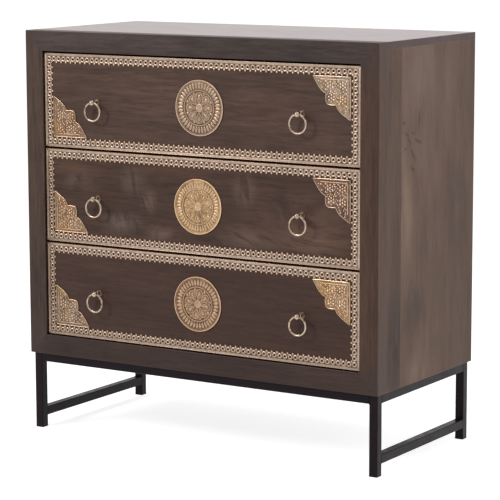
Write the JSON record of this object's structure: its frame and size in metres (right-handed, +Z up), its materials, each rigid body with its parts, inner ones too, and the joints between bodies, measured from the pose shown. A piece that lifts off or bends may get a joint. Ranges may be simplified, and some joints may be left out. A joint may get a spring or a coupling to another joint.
{
  "type": "chest of drawers",
  "caption": "Dark hardwood chest of drawers with pierced brass borders, corner plates, round medallions and ring pulls, raised on a black square-tube stand.",
  "frame": {"origin": "on the floor, under the middle of the whole object's box, pulls included", "axes": "+Z up; -Y towards the front with the drawers; +X to the right as seen from the front"},
  "size_m": [0.9, 0.4465, 0.905],
  "materials": {
    "case_wood": "dark stain, satin lacquer",
    "drawer_wood": "dark stain, satin lacquer",
    "box_wood": "planed, thin oil",
    "back_board": "plywood, thin oil",
    "brass_trim": "antique brass, dark in the recesses",
    "brass_pull": "satin antique brass",
    "black_steel": "black powder coat",
    "black_plastic": "matt black",
    "zinc_steel": "zinc plated"
  },
  "bodies": {
    "case": {"case_top": "case_wood", "case_left_side": "case_wood", "case_right_side": "case_wood", "front_frame_top_rail": "case_wood", "front_frame_bottom_rail": "case_wood", "front_frame_left_stile": "case_wood", "front_frame_right_stile": "case_wood", "case_bottom": "box_wood", "left_drawer_runners": "box_wood", "right_drawer_runners": "box_wood", "case_back_panel": "back_board", "stand_front_left_leg": "black_steel", "stand_front_right_leg": "black_steel", "stand_rear_left_leg": "black_steel", "stand_rear_right_leg": "black_steel", "stand_front_rail": "black_steel", "stand_rear_rail": "black_steel", "stand_left_rail": "black_steel", "stand_right_rail": "black_steel", "stand_left_stretcher": "black_steel", "stand_right_stretcher": "black_steel", "stand_foot_plugs": "black_plastic", "stand_screws": "zinc_steel", "back_panel_screws": "zinc_steel"},
    "top_drawer": {"top_drawer_front": "drawer_wood", "top_drawer_left_side": "box_wood", "top_drawer_right_side": "box_wood", "top_drawer_back": "box_wood", "top_drawer_bottom": "back_board", "top_drawer_border_strips": "brass_trim", "top_drawer_corner_plates": "brass_trim", "top_drawer_medallion": "brass_trim", "top_drawer_pull_posts": "brass_pull", "top_drawer_pull_nuts": "zinc_steel"},
    "top_left_ring": {"top_drawer_left_ring": "brass_pull"},
    "top_right_ring": {"top_drawer_right_ring": "brass_pull"},
    "middle_drawer": {"middle_drawer_front": "drawer_wood", "middle_drawer_left_side": "box_wood", "middle_drawer_right_side": "box_wood", "middle_drawer_back": "box_wood", "middle_drawer_bottom": "back_board", "middle_drawer_border_strips": "brass_trim", "middle_drawer_corner_plates": "brass_trim", "middle_drawer_medallion": "brass_trim", "middle_drawer_pull_posts": "brass_pull", "middle_drawer_pull_nuts": "zinc_steel"},
    "middle_left_ring": {"middle_drawer_left_ring": "brass_pull"},
    "middle_right_ring": {"middle_drawer_right_ring": "brass_pull"},
    "bottom_drawer": {"bottom_drawer_front": "drawer_wood", "bottom_drawer_left_side": "box_wood", "bottom_drawer_right_side": "box_wood", "bottom_drawer_back": "box_wood", "bottom_drawer_bottom": "back_board", "bottom_drawer_border_strips": "brass_trim", "bottom_drawer_corner_plates": "brass_trim", "bottom_drawer_medallion": "brass_trim", "bottom_drawer_pull_posts": "brass_pull", "bottom_drawer_pull_nuts": "zinc_steel"},
    "bottom_left_ring": {"bottom_drawer_left_ring": "brass_pull"},
    "bottom_right_ring": {"bottom_drawer_right_ring": "brass_pull"}
  },
  "joints": [
    {"name": "top_drawer_slide", "type": "slide", "parent": "case", "child": "top_drawer", "axis": [0, -1, 0], "range_m": [0, 0.28]},
    {"name": "top_left_ring_swing", "type": "hinge", "parent": "top_drawer", "child": "top_left_ring", "pos_m": [-0.262, -0.21625, 0.75167], "axis": [-1, 0, 0], "range_deg": [-20, 200]},
    {"name": "top_right_ring_swing", "type": "hinge", "parent": "top_drawer", "child": "top_right_ring", "pos_m": [0.262, -0.21625, 0.75167], "axis": [-1, 0, 0], "range_deg": [-20, 200]},
    {"name": "middle_drawer_slide", "type": "slide", "parent": "case", "child": "middle_drawer", "axis": [0, -1, 0], "range_m": [0, 0.28]},
    {"name": "middle_left_ring_swing", "type": "hinge", "parent": "middle_drawer", "child": "middle_left_ring", "pos_m": [-0.262, -0.21625, 0.539], "axis": [-1, 0, 0], "range_deg": [-20, 200]},
    {"name": "middle_right_ring_swing", "type": "hinge", "parent": "middle_drawer", "child": "middle_right_ring", "pos_m": [0.262, -0.21625, 0.539], "axis": [-1, 0, 0], "range_deg": [-20, 200]},
    {"name": "bottom_drawer_slide", "type": "slide", "parent": "case", "child": "bottom_drawer", "axis": [0, -1, 0], "range_m": [0, 0.28]},
    {"name": "bottom_left_ring_swing", "type": "hinge", "parent": "bottom_drawer", "child": "bottom_left_ring", "pos_m": [-0.262, -0.21625, 0.32633], "axis": [-1, 0, 0], "range_deg": [-20, 200]},
    {"name": "bottom_right_ring_swing", "type": "hinge", "parent": "bottom_drawer", "child": "bottom_right_ring", "pos_m": [0.262, -0.21625, 0.32633], "axis": [-1, 0, 0], "range_deg": [-20, 200]}
  ]
}
